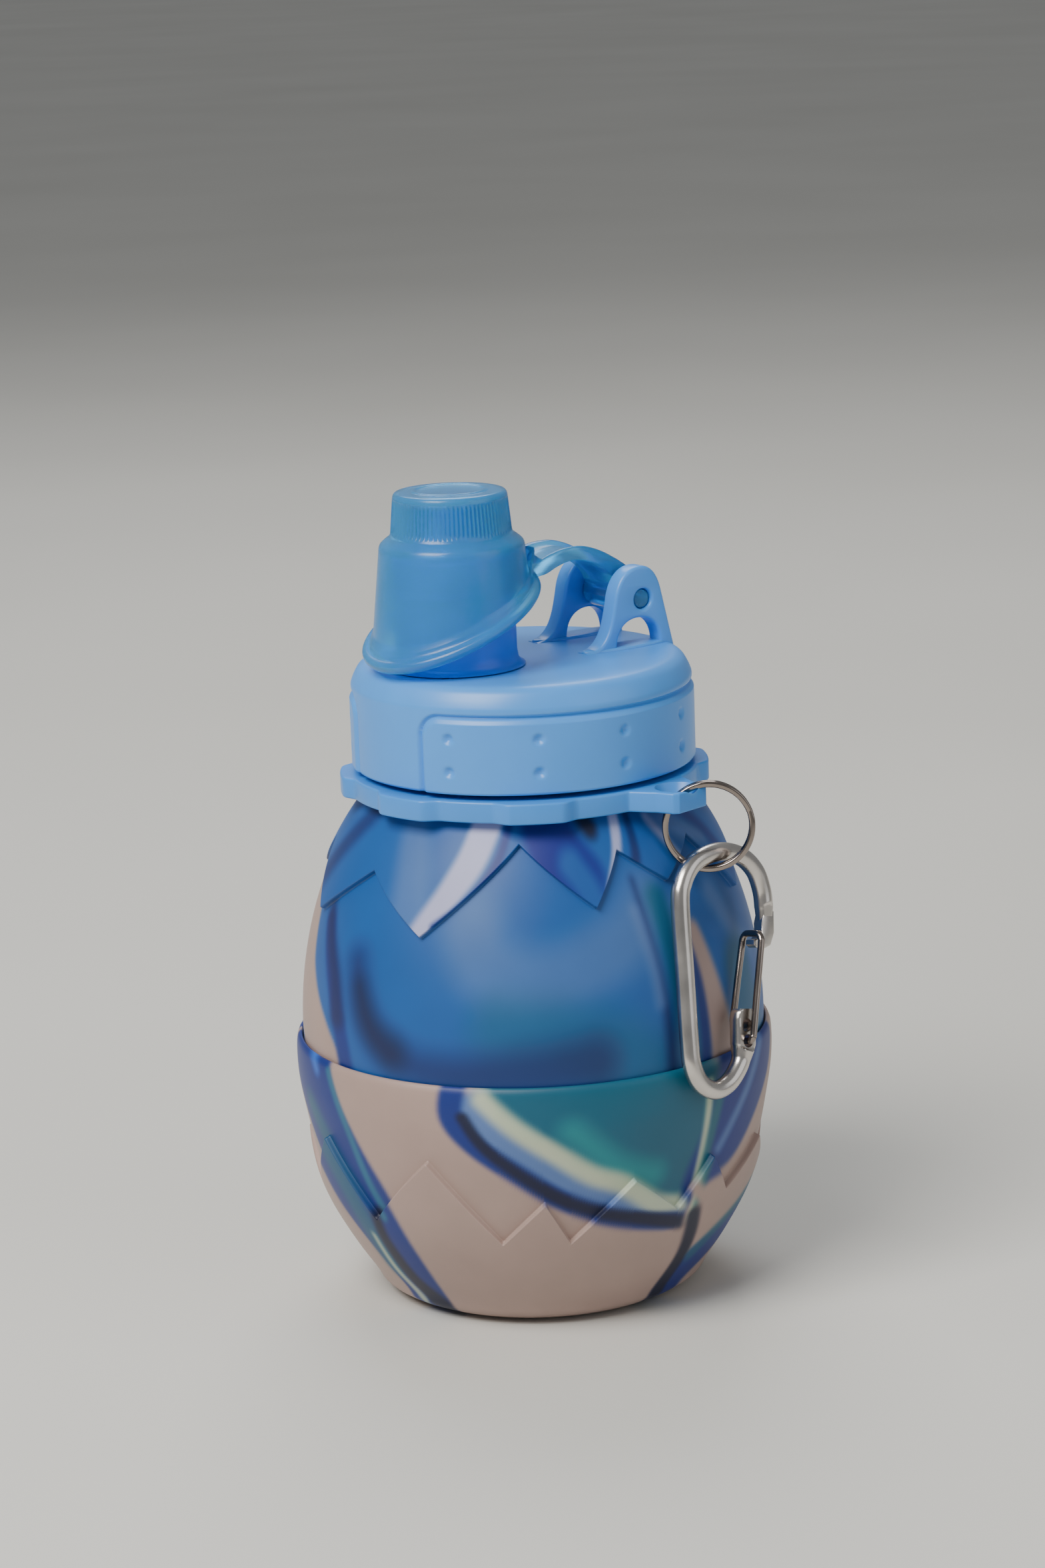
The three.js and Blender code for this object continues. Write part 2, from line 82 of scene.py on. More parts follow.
camera = make_camera()
bpy.context.view_layer.update()

# ---------------------------------------------------------------- mesh helpers


def new_object(name, vertices, faces, smooth_angle=40):
    mesh = bpy.data.meshes.new(name)
    mesh.from_pydata([tuple(v) for v in vertices], [], faces)
    mesh.validate()
    mesh.update()
    piece = bpy.data.objects.new(name, mesh)
    bpy.context.scene.collection.objects.link(piece)
    mesh.polygons.foreach_set("use_smooth", [True] * len(mesh.polygons))
    if smooth_angle:
        mesh.set_sharp_from_angle(angle=math.radians(smooth_angle))
    return piece


def grid(name, points, close_rows=False, caps=False, smooth_angle=40):
    """Skin over points[row, column, xyz] in metres; columns always close on themselves."""
    rows, columns = points.shape[:2]
    index = np.arange(rows * columns).reshape(rows, columns)
    faces = []
    last = rows if close_rows else rows - 1
    for i in range(last):
        a, b = index[i], index[(i + 1) % rows]
        for j in range(columns):
            k = (j + 1) % columns
            faces.append((a[j], a[k], b[k], b[j]))
    if caps:
        faces.append(tuple(index[0][::-1]))
        faces.append(tuple(index[-1]))
    return new_object(name, points.reshape(-1, 3), faces, smooth_angle)


def recalc(piece):
    import bmesh

    work = bmesh.new()
    work.from_mesh(piece.data)
    bmesh.ops.remove_doubles(work, verts=work.verts, dist=1e-6)
    bmesh.ops.recalc_face_normals(work, faces=work.faces)
    work.to_mesh(piece.data)
    work.free()
    return piece


def round_profile(profile, steps=4):
    """Chaikin smoothing of an open profile, which keeps its ends."""
    points = np.array(profile, float)
    for _ in range(steps):
        q = 0.75 * points[:-1] + 0.25 * points[1:]
        r = 0.25 * points[:-1] + 0.75 * points[1:]
        inner = np.empty((2 * len(q), 2))
        inner[0::2], inner[1::2] = q, r
        points = np.vstack([points[:1], inner, points[-1:]])
    return points


def revolve(name, profile, columns=160, x=0.0, shape=None, close=True, smooth_angle=35):
    """Turns [radius, z] rows in mm about the Z axis through (x, 0); shape(angle, r, z) may move each point."""
    profile = np.array(profile, float)
    angle = np.linspace(0, 2 * math.pi, columns, endpoint=False)
    r = np.repeat(profile[:, :1], columns, axis=1)
    z = np.repeat(profile[:, 1:], columns, axis=1)
    if shape:
        r, z = shape(angle[None, :], r, z)
    points = np.stack([x + r * np.cos(angle), r * np.sin(angle), z], axis=-1) * MM
    return recalc(grid(name, points, close_rows=close, smooth_angle=smooth_angle))


def sweep(name, path, radius, sides=20, closed=False, flatten=None, smooth_angle=60):
    """Round bar along path (mm points); radius is a number or one per point."""
    path = np.array(path, float)
    count = len(path)
    radius = np.broadcast_to(np.array(radius, float), (count,))
    tangent = np.gradient(path, axis=0)
    if closed:
        tangent = np.roll(path, -1, axis=0) - np.roll(path, 1, axis=0)
    tangent /= np.linalg.norm(tangent, axis=1)[:, None]
    normal = np.cross(tangent[0], [0.13, 0.97, 0.21])
    rows = []
    for i in range(count):
        normal = normal - tangent[i] * normal.dot(tangent[i])
        normal /= np.linalg.norm(normal)
        side = np.cross(tangent[i], normal)
        angle = np.linspace(0, 2 * math.pi, sides, endpoint=False)[:, None]
        ring = normal * np.cos(angle) + side * np.sin(angle)
        rows.append(path[i] + ring * radius[i])
    points = np.array(rows)
    if flatten is not None:
        points = flatten(points)
    piece = grid(name, points * MM, close_rows=closed, caps=not closed, smooth_angle=smooth_angle)
    return recalc(piece)


def catmull(points, steps=12, closed=False):
    points = np.array(points, float)
    count = len(points)
    out = []
    spans = count if closed else count - 1
    for i in range(spans):
        if closed:
            p = [points[(i + k) % count] for k in (-1, 0, 1, 2)]
        else:
            p = [points[min(max(i + k, 0), count - 1)] for k in (-1, 0, 1, 2)]
        for t in np.linspace(0, 1, steps, endpoint=False):
            out.append(0.5 * (2 * p[1] + (p[2] - p[0]) * t + (2 * p[0] - 5 * p[1] + 4 * p[2] - p[3]) * t**2
                              + (3 * p[1] - p[0] - 3 * p[2] + p[3]) * t**3))
    if not closed:
        out.append(points[-1])
    return np.array(out)


def smoothstep(low, high, value):
    t = np.clip((value - low) / (high - low), 0, 1)
    return t * t * (3 - 2 * t)


# ---------------------------------------------------------------- materials


def nodes_of(name):
    material = bpy.data.materials.new(name)
    material.use_nodes = True
    tree = material.node_tree
    return material, tree, tree.nodes["Principled BSDF"]


def add_bump(tree, shader, scale, strength, distance=0.0002, detail=4.0):
    coordinates = tree.nodes.new("ShaderNodeTexCoord")
    texture = tree.nodes.new("ShaderNodeTexNoise")
    texture.inputs["Scale"].default_value = scale
    texture.inputs["Detail"].default_value = detail
    bump = tree.nodes.new("ShaderNodeBump")
    bump.inputs["Strength"].default_value = strength
    bump.inputs["Distance"].default_value = distance
    tree.links.new(coordinates.outputs["Object"], texture.inputs["Vector"])
    tree.links.new(texture.outputs["Fac"], bump.inputs["Height"])
    tree.links.new(bump.outputs["Normal"], shader.inputs["Normal"])
    return texture


def ramp_into(tree, factor, socket, stops):
    ramp = tree.nodes.new("ShaderNodeValToRGB")
    ramp.color_ramp.elements[0].position = stops[0][0]
    ramp.color_ramp.elements[0].color = (*stops[0][1], 1)
    ramp.color_ramp.elements[1].position = stops[-1][0]
    ramp.color_ramp.elements[1].color = (*stops[-1][1], 1)
    for place, colour in stops[1:-1]:
        ramp.color_ramp.elements.new(place).color = (*colour, 1)
    tree.links.new(factor, ramp.inputs["Fac"])
    tree.links.new(ramp.outputs["Color"], socket)


def hex_colour(text):
    channels = [int(text[i:i + 2], 16) / 255 for i in (0, 2, 4)]
    return tuple(c / 12.92 if c <= 0.04045 else ((c + 0.055) / 1.055) ** 2.4 for c in channels)


def moulded_plastic(name, colour, roughness, subsurface=0.0):
    material, tree, shader = nodes_of(name)
    base = hex_colour(colour)
    shader.inputs["Subsurface Weight"].default_value = subsurface
    shader.inputs["Subsurface Radius"].default_value = (0.001, 0.002, 0.004)
    shader.inputs["Subsurface Scale"].default_value = 1.0
    add_bump(tree, shader, 900, 0.06, 0.0001)
    coordinates = tree.nodes.new("ShaderNodeTexCoord")
    mottle = tree.nodes.new("ShaderNodeTexNoise")
    mottle.inputs["Scale"].default_value = 45
    mottle.inputs["Detail"].default_value = 5
    tree.links.new(coordinates.outputs["Object"], mottle.inputs["Vector"])
    darker = tuple(c * 0.9 for c in base)
    ramp_into(tree, mottle.outputs["Fac"], shader.inputs["Base Color"], [(0.3, darker), (0.7, base)])
    spread = tree.nodes.new("ShaderNodeMapRange")
    spread.inputs["To Min"].default_value = roughness - 0.05
    spread.inputs["To Max"].default_value = roughness + 0.06
    tree.links.new(mottle.outputs["Fac"], spread.inputs["Value"])
    tree.links.new(spread.outputs["Result"], shader.inputs["Roughness"])
    return material


def clear_plastic(name, colour):
    material, tree, shader = nodes_of(name)
    base = hex_colour(colour)
    shader.inputs["Transmission Weight"].default_value = 0.75
    shader.inputs["Roughness"].default_value = 0.24
    shader.inputs["IOR"].default_value = 1.42
    add_bump(tree, shader, 160, 0.08, 0.0002)
    coordinates = tree.nodes.new("ShaderNodeTexCoord")
    mottle = tree.nodes.new("ShaderNodeTexNoise")
    mottle.inputs["Scale"].default_value = 60
    tree.links.new(coordinates.outputs["Object"], mottle.inputs["Vector"])
    darker = tuple(c * 0.85 for c in base)
    ramp_into(tree, mottle.outputs["Fac"], shader.inputs["Base Color"], [(0.3, darker), (0.7, base)])
    return material


def metal(name, colour, roughness, scratch=0.12, scale=400):
    material, tree, shader = nodes_of(name)
    base = hex_colour(colour)
    shader.inputs["Metallic"].default_value = 1
    add_bump(tree, shader, scale, scratch, 0.0001)
    coordinates = tree.nodes.new("ShaderNodeTexCoord")
    wear = tree.nodes.new("ShaderNodeTexNoise")
    wear.inputs["Scale"].default_value = 150
    wear.inputs["Detail"].default_value = 8
    tree.links.new(coordinates.outputs["Object"], wear.inputs["Vector"])
    ramp_into(tree, wear.outputs["Fac"], shader.inputs["Base Color"], [(0.3, tuple(c * 0.8 for c in base)), (0.7, base)])
    spread = tree.nodes.new("ShaderNodeMapRange")
    spread.inputs["To Min"].default_value = roughness * 0.7
    spread.inputs["To Max"].default_value = roughness * 1.4
    tree.links.new(wear.outputs["Fac"], spread.inputs["Value"])
    tree.links.new(spread.outputs["Result"], shader.inputs["Roughness"])
    return material


def silicone_material():
    """Marbled silicone: the swirls, and one painted highlight on the cup, come from the piece's own colour layer,
    broken up by fine noise.
    """
    material, tree, shader = nodes_of("marbled_silicone")
    swirl_and_highlight = tree.nodes.new("ShaderNodeVertexColor")
    swirl_and_highlight.layer_name = "swirl_and_highlight"
    coordinates = tree.nodes.new("ShaderNodeTexCoord")
    mottle = tree.nodes.new("ShaderNodeTexNoise")
    mottle.inputs["Scale"].default_value = 70
    mottle.inputs["Detail"].default_value = 6
    tree.links.new(coordinates.outputs["Object"], mottle.inputs["Vector"])
    shade = tree.nodes.new("ShaderNodeMapRange")
    shade.inputs["To Min"].default_value = 0.88
    shade.inputs["To Max"].default_value = 1.1
    tree.links.new(mottle.outputs["Fac"], shade.inputs["Value"])
    tint = tree.nodes.new("ShaderNodeVectorMath")
    tint.operation = "SCALE"
    tree.links.new(swirl_and_highlight.outputs["Color"], tint.inputs[0])
    tree.links.new(shade.outputs["Result"], tint.inputs["Scale"])
    tree.links.new(tint.outputs["Vector"], shader.inputs["Base Color"])
    shader.inputs["Roughness"].default_value = 0.5
    shader.inputs["Subsurface Weight"].default_value = 0.08
    shader.inputs["Subsurface Radius"].default_value = (0.001, 0.001, 0.0015)
    shader.inputs["Subsurface Scale"].default_value = 1.0
    shader.inputs["Sheen Weight"].default_value = 0.06
    shader.inputs["Sheen Roughness"].default_value = 0.4
    add_bump(tree, shader, 1100, 0.05, 0.0001)
    return material


SILICONE = silicone_material()
LID_BLUE = moulded_plastic("lid_blue", "4b9aea", 0.34, 0.12)
COLLAR_BLUE = moulded_plastic("collar_blue", "3f90e0", 0.36, 0.12)
SPOUT_BLUE = moulded_plastic("spout_blue", "1a6fdc", 0.35, 0.12)
CAP_CLEAR = clear_plastic("cap_clear", "58c4ff")
SEAL = moulded_plastic("seal_white", "dfe7ec", 0.55)
ALUMINIUM = metal("aluminium", "d8d2cc", 0.22, 0.1)
STEEL = metal("steel", "9a8f88", 0.14, 0.05)


def finish(piece, material, body, slot, *nodes):
    piece.data.materials.clear()
    piece.data.materials.append(material)
    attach(piece, body)
    if nodes:
        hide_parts(*nodes)
    return piece


# ---------------------------------------------------------------- marbling of the silicone, with one painted highlight

MID_BLUE = hex_colour("2a7cb6")
DEEP_BLUE = hex_colour("1c4f9c")
NAVY = hex_colour("27407e")
INK = hex_colour("1c2a55")
TEAL = hex_colour("1c8298")
TURQUOISE = hex_colour("35a8ac")
LILAC = hex_colour("8099c2")
PALE_LILAC = hex_colour("c3c4dc")
TAUPE = hex_colour("c2b0a9")
CREAM = hex_colour("d2d8c4")

# Each stroke: colour, half width in mm at its two ends, softness in mm, strength, [(degrees right of front, z), ...]
DOME_STROKES = [
    (LILAC, 7, 6, 9, 0.55, [(-16, 86), (-12, 80), (-3, 77), (6, 77), (16, 80), (26, 84), (34, 90)]),
    (TEAL, 6, 8, 10, 0.5, [(-8, 68), (6, 66), (18, 63), (26, 58)]),
    (NAVY, 3, 5, 8, 0.7, [(-49, 78), (-46, 69), (-39, 62), (-26, 59), (-10, 59), (4, 60), (14, 61)]),
    (INK, 2, 4, 7, 0.55, [(-47, 73), (-43, 66), (-37, 62)]),
    (TAUPE, 9, 9, 2.2, 1, [(-86, 80), (-80, 68), (-70, 58), (-66, 53)]),
    (TAUPE, 2, 5, 2.5, 1, [(-73, 72), (-67, 63), (-61, 56)]),
    (DEEP_BLUE, 2.2, 2.4, 2.5, 1, [(-66, 84), (-61, 76), (-57, 69), (-54, 61), (-52, 53)]),
    (NAVY, 1.6, 2.6, 4, 0.9, [(-70, 90), (-64, 82), (-58, 74), (-56, 66)]),
    (LILAC, 1.8, 1.2, 4, 0.6, [(-72, 96), (-69, 88)]),
    (NAVY, 0.6, 1.4, 3.5, 0.75, [(31, 94), (32, 82), (34, 66), (35, 54)]),
    (LILAC, 1.4, 1.2, 3, 0.6, [(29, 88), (31, 78), (32, 70)]),
    (TEAL, 3, 3, 4, 0.7, [(37, 90), (39, 74), (41, 56)]),
    (TAUPE, 2.5, 5, 3, 0.95, [(47, 82), (49, 72), (52, 60), (54, 53)]),
    (DEEP_BLUE, 1.2, 1.4, 2, 0.9, [(43, 84), (45, 72), (46, 55)]),
    (LILAC, 3, 2, 5, 0.7, [(60, 88), (66, 80), (74, 74)]),
    (TEAL, 6, 5, 6, 0.7, [(64, 72), (68, 60), (74, 54)]),
]
CROWN_STROKES = [
    (LILAC, 4, 5, 6, 0.6, [(-40, 106), (-36, 98), (-34, 90)]),
    (PALE_LILAC, 4.5, 1.6, 2.4, 1, [(-13, 108), (-17, 101), (-22, 95), (-28, 88), (-31, 85)]),
    (DEEP_BLUE, 1.2, 0.8, 1.8, 1, [(-5, 108), (-9, 100), (-17, 93), (-26, 87)]),
    (hex_colour("1b3f9e"), 7, 6, 4, 1, [(6, 108), (9, 101), (15, 95)]),
    (MID_BLUE, 3, 3, 4, 0.9, [(13, 98), (17, 93), (18, 89)]),
    (INK, 2.5, 2, 3, 0.95, [(18, 108), (21, 104)]),
    (PALE_LILAC, 1.6, 0.8, 1.6, 0.9, [(31, 107), (28, 100), (23, 93)]),
    (NAVY, 1.2, 1.4, 2, 0.8, [(36, 107), (34, 99), (32, 96)]),
    (LILAC, 3, 2, 4, 0.8, [(48, 106), (56, 102), (66, 99)]),
    (PALE_LILAC, 1.4, 1, 2.5, 0.7, [(44, 105), (49, 99), (52, 95)]),
    (DEEP_BLUE, 2, 2, 4, 0.8, [(60, 107), (70, 100), (76, 92)]),
    (NAVY, 3, 3, 5, 0.7, [(-60, 108), (-70, 100), (-78, 92)]),
]
CUP_STROKES = [
    (TEAL, 14, 12, 6, 1, [(4, 58), (20, 54), (34, 50), (42, 42)]),
    (TEAL, 9, 7, 5, 1, [(14, 46), (26, 40), (36, 32)]),
    (TURQUOISE, 2.5, 3, 6, 0.8, [(8, 47), (18, 39), (28, 35)]),
    (LILAC, 3.6, 3, 3.2, 1, [(-15, 52), (-8, 44), (1, 39), (11, 33), (22, 29), (34, 25)]),
    (CREAM, 2, 2.4, 3, 0.9, [(-12, 54), (-5, 48), (4, 42), (12, 37), (20, 34), (30, 28), (38, 26)]),
    (DEEP_BLUE, 2.6, 2, 2, 1, [(-19, 57), (-20, 50), (-15, 44), (-6, 38), (4, 32), (14, 28), (26, 25), (38, 23)]),
    (INK, 1.3, 1.6, 1.8, 0.9, [(-17, 50), (-12, 43), (-1, 35), (10, 29.5), (24, 26), (40, 22)]),
    (DEEP_BLUE, 12, 7, 2, 1, [(-74, 58), (-67, 46), (-58, 34), (-50, 24), (-45, 14), (-41, 0)]),
    # painted highlight: a small light blue patch at the top of the left blue band, standing in for a glint of light
    (hex_colour("4f8fd8"), 1.6, 1, 3, 0.9, [(-68, 57), (-64, 53)]),
    (TEAL, 3, 4, 5, 0.8, [(-70, 44), (-62, 36), (-54, 26), (-50, 12)]),
    (hex_colour("3f93a8"), 0.9, 1.2, 1.8, 0.8, [(-58, 54), (-52, 43), (-47, 31), (-43, 24)]),
    (INK, 1.4, 3, 2.6, 0.95, [(-46, 24), (-46, 17), (-43, 8), (-36, 2)]),
    (CREAM, 0.8, 1.4, 2.2, 0.8, [(-51, 18), (-50, 10), (-45, 3)]),
    (DEEP_BLUE, 13, 9, 3, 1, [(66, 58), (60, 46), (54, 36), (49, 30)]),
    (LILAC, 1.4, 1.2, 2.6, 0.8, [(70, 56), (60, 46), (50, 36)]),
    (TAUPE, 6, 7, 2.6, 1, [(84, 44), (72, 34), (60, 26), (48, 23)]),
    (CREAM, 0.9, 1.2, 1.8, 0.9, [(45, 52), (44.5, 42), (43, 32), (42, 23)]),
    (hex_colour("3a8f96"), 1.6, 1, 2.2, 0.8, [(49, 50), (46, 38), (43, 26)]),
    (TAUPE, 1.4, 2, 1.8, 1, [(42, 29), (47, 26), (54, 26)]),
    (DEEP_BLUE, 5, 5, 2.6, 1, [(84, 20), (66, 14), (50, 8), (44, 0)]),
    (INK, 2, 2.6, 2, 0.95, [(43, 23), (45, 14), (43, 6), (40, 0)]),
    (TEAL, 2, 2, 3, 0.8, [(76, 22), (60, 17), (50, 12)]),
]

FRONT = -125  # degrees round from +X to the side that the camera sees


def paint(base, strokes, front_angle, z, seed):
    """Colours at points given by degrees right of front and z in mm. The unseen half mirrors the seen one, bent by noise."""
    angle = (front_angle + 180) % 360 - 180
    wrapped = np.where(angle > 90, 180 - angle, np.where(angle < -90, -180 - angle, angle))
    hidden = smoothstep(84, 120, np.abs(angle))
    drift = np.array([
        noise.noise_vector(Vector((math.cos(math.radians(a)) * 1.6, math.sin(math.radians(a)) * 1.6, h / 30 + seed)))[:2]
        for a, h in zip(angle, z)
    ])
    wrapped = wrapped + drift[:, 0] * (1.4 + 16 * hidden)
    height = z + drift[:, 1] * (1.2 + 12 * hidden)
    colour = np.repeat(np.array([base]), len(z), axis=0)
    across = 48.0 * np.radians(wrapped)
    for tint, wide_a, wide_b, soft, strength, path in strokes:
        line = catmull([(48.0 * math.radians(a), h) for a, h in path], 6)
        nearest = np.full(len(z), 1e9)
        span = len(line) - 1
        for i in range(span):
            p, q = line[i], line[i + 1]
            d = q - p
            t = np.clip(((across - p[0]) * d[0] + (height - p[1]) * d[1]) / d.dot(d), 0, 1)
            distance = np.hypot(across - p[0] - t * d[0], height - p[1] - t * d[1])
            width = wide_a + (wide_b - wide_a) * (i + t) / span
            nearest = np.minimum(nearest, distance - width)
        mask = (1 - smoothstep(-soft * 0.5, soft * 0.5, nearest)) * strength
        colour = colour + (np.array(tint) - colour) * mask[:, None]
    return colour


# ---------------------------------------------------------------- silicone egg

CUP_CRACK = [
    (-187, 39), (-172, 23.6), (-152.4, 39.3), (-135, 21.7), (-123.8, 31), (-117.5, 21.6), (-101.4, 34.4),
    (-88, 25.5), (-77.8, 35.2), (-69.9, 26.2), (-53, 33.6), (-38, 22), (-21, 38), (-4, 24), (9, 33), (26, 22.5),
    (44, 37), (60, 25), (73, 31), (91, 21.5), (109, 38.5), (124, 26), (140, 33.5), (155, 23),
]
DOME_CRACK = [
    (-175.4, 95.7), (-154.6, 84.9), (-127.6, 102.5), (-106.7, 90.1), (-96.8, 100.1), (-82.7, 92.9), (-66.9, 99.7),
    (-51, 86.4), (-29, 101), (-12, 88), (2, 97), (20, 84.5), (44, 102), (62, 91), (76, 99), (97, 85), (118, 101.5),
    (134, 90), (147, 97.5), (162.3, 85.1),
]
RELIEF = 1.35
DEPTH_OF_COLOUR = 1.6
CUP_PROFILE = [
    (29.5, 0.3), (31.3, 1.0), (33.0, 2.5), (34.5, 5.2), (38, 10.5), (41.2, 16), (43.6, 20.8), (45.5, 26), (47.3, 33),
    (48.7, 40), (49.7, 46), (50, 50), (50, 53), (49.85, 54.6),
]


def dome_radius(z):
    return 48.5 * np.sqrt(np.clip(1 - ((z - 57) / 66) ** 2, 0, 1))


def crack_columns(crack, count=540):
    angles = sorted(set(np.round(np.concatenate([np.linspace(-180, 180, count, endpoint=False),
                                                 [(a + 180) % 360 - 180 for a, _ in crack]]), 3)))
    places = [a for a, _ in crack] + [crack[0][0] + 360]
    heights = [h for _, h in crack] + [crack[0][1]]
    wrapped = [(a - crack[0][0]) % 360 + crack[0][0] for a in angles]
    return np.array(angles), np.interp(wrapped, places, heights)


def egg_piece(name, crack, bottom, top, radius_at, raised_above, inner, strokes, base, crown=None):
    """Outer skin whose rows follow the zigzag, closed by an inner profile."""
    angles, line = crack_columns(crack)
    below = np.linspace(0, 1, 56)[:-1]
    band = np.linspace(-0.75, 0.75, 9)
    above = np.linspace(0, 1, 56)[1:]
    z = np.vstack([
        bottom + (line - 0.75 - bottom)[None, :] * below[:, None],
        line[None, :] + band[:, None],
        line[None, :] + 0.75 + (top - line - 0.75)[None, :] * above[:, None],
    ])
    side = (z - line[None, :]) if raised_above else (line[None, :] - z)
    lift = RELIEF * smoothstep(-0.35, 0.35, side)
    ends = smoothstep(0, 3, z - bottom) * smoothstep(0, 3, top - z)
    r = radius_at(z) + lift * (ends if not raised_above else smoothstep(0, 3, z - bottom))
    inner = np.array(inner, float)
    inner_r = np.repeat(inner[:, :1], len(angles), axis=1)
    inner_z = np.repeat(inner[:, 1:], len(angles), axis=1)
    r, z = np.vstack([r, inner_r]), np.vstack([z, inner_z])
    turn = np.radians(angles)[None, :]
    points = np.stack([r * np.cos(turn), r * np.sin(turn), z], axis=-1) * MM
    piece = grid(name, points, close_rows=True, smooth_angle=0)
    front = ((np.repeat(angles[None, :], len(z), axis=0) - FRONT + 180) % 360 - 180).ravel()
    colour = paint(base, strokes, front, z.ravel(), 1.7)
    if crown:
        raised = np.vstack([smoothstep(-0.3, 0.3, side), np.ones_like(inner_z)]).ravel()
        upper = paint(MID_BLUE, crown, front, z.ravel(), 4.1)
        colour = colour + (upper - colour) * raised[:, None]
    layer = piece.data.color_attributes.new("swirl_and_highlight", "FLOAT_COLOR", "POINT")
    colour = np.clip(colour, 0, 1) ** DEPTH_OF_COLOUR
    layer.data.foreach_set("color", np.column_stack([colour, np.ones(len(colour))]).ravel())
    return piece


def make_cup():
    profile = np.array(CUP_PROFILE)
    smooth = catmull(profile, 8)
    order = np.argsort(smooth[:, 1])

    def radius_at(z):
        return np.interp(z, smooth[order, 1], smooth[order, 0])

    rim = [(49.6, 55.3), (49.2, 55.8), (48.9, 55.85), (48.72, 55.5), (48.66, 54.8), (48.6, 52.8), (47.2, 52.4)]
    inner = [(47.4, 48), (47.0, 42), (46, 34), (44, 26), (41, 18.5), (37, 12), (33, 7.5), (29, 4.2), (25, 3), (12, 3), (0.02, 3)]
    foot = [(0.02, 0), (12, 0), (26.6, 0), (28.4, 0.02)]
    piece = egg_piece("bottle_lower_cup", CUP_CRACK, 0.3, 54.6, radius_at, False, rim + inner + foot, CUP_STROKES, TAUPE)
    finish(piece, SILICONE, "cup", "silicone", "lower_cup")


def make_dome():
    inner = [(30.6, 106.9), (29.95, 106.6), (30.2, 105), (33.6, 101), (37.6, 95), (41, 87.5), (43.6, 79), (45.4, 70), (46.2, 62),
             (46.3, 54), (46.4, 53), (48.3, 53)]

    def radius_at(z):
        return np.where(z < 57, 48.45, dome_radius(np.maximum(z, 57)))

    piece = egg_piece("bottle_upper_dome", DOME_CRACK, 53.2, 106.8, radius_at, True, inner, DOME_STROKES, MID_BLUE,
                      CROWN_STROKES)
    piece.data.materials.append(SILICONE)
    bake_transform(piece)
    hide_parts("upper_dome")


def make_sleeve():
    profile = round_profile([(27.5, 103), (29.5, 103), (29.5, 112.9), (27.5, 112.9)], 0)
    piece = revolve("bottle_neck_sleeve", profile, 160)
    layer = piece.data.color_attributes.new("swirl_and_highlight", "FLOAT_COLOR", "POINT")
    layer.data.foreach_set("color", [*MID_BLUE, 1] * len(piece.data.vertices))
    finish(piece, SILICONE, "neck", "silicone", "neck_sleeve")


make_cup()
make_dome()
make_sleeve()

# ---------------------------------------------------------------- collar ring with its lug


def filled_outline(name, loops, low, high, bevel):
    """Solid between two heights from closed loops of mm points (the first is the outline), with rounded edges."""
    curve = bpy.data.curves.new(name, "CURVE")
    curve.dimensions = "2D"
    curve.fill_mode = "BOTH"
    curve.extrude = ((high - low) / 2 - bevel) * MM
    curve.bevel_depth = bevel * MM
    curve.bevel_resolution = 3
    curve.offset = -bevel * MM
    for loop in loops:
        spline = curve.splines.new("POLY")
        spline.points.add(len(loop) - 1)
        for point, (x, y) in zip(spline.points, loop):
            point.co = (x * MM, y * MM, 0, 1)
        spline.use_cyclic_u = True
    holder = bpy.data.objects.new(name + "_curve", curve)
    bpy.context.scene.collection.objects.link(holder)
    bpy.context.view_layer.update()
    mesh = bpy.data.meshes.new_from_object(holder.evaluated_get(bpy.context.evaluated_depsgraph_get()))
    bpy.data.objects.remove(holder)
    bpy.data.curves.remove(curve)
    piece = bpy.data.objects.new(name, mesh)
    bpy.context.scene.collection.objects.link(piece)
    mesh.transform(Matrix.Translation((0, 0, (low + high) / 2 * MM)))
    recalc(piece)
    mesh.polygons.foreach_set("use_smooth", [True] * len(mesh.polygons))
    mesh.set_sharp_from_angle(angle=math.radians(35))
    return piece


def cut(piece, cutter):
    """Boolean difference, applied."""
    modifier = piece.modifiers.new("cut", "BOOLEAN")
    modifier.operation = "DIFFERENCE"
    modifier.solver = "EXACT"
    modifier.object = cutter
    bpy.context.view_layer.update()
    mesh = bpy.data.meshes.new_from_object(piece.evaluated_get(bpy.context.evaluated_depsgraph_get()))
    piece.modifiers.clear()
    old = piece.data
    piece.data = mesh
    bpy.data.meshes.remove(old)
    bpy.data.objects.remove(cutter)
    mesh.polygons.foreach_set("use_smooth", [True] * len(mesh.polygons))
    mesh.set_sharp_from_angle(angle=math.radians(35))
    return piece


def circle(x, y, radius, count=96):
    return [(x + radius * math.cos(a), y + radius * math.sin(a)) for a in np.linspace(0, 2 * math.pi, count, endpoint=False)]


LUG_ANGLE = math.radians(-77)
LUG_HALF = [(32.5, 9.5), (37.2, 7.6), (40.5, 6), (44.3, 5.2), (45.2, 4.2)]


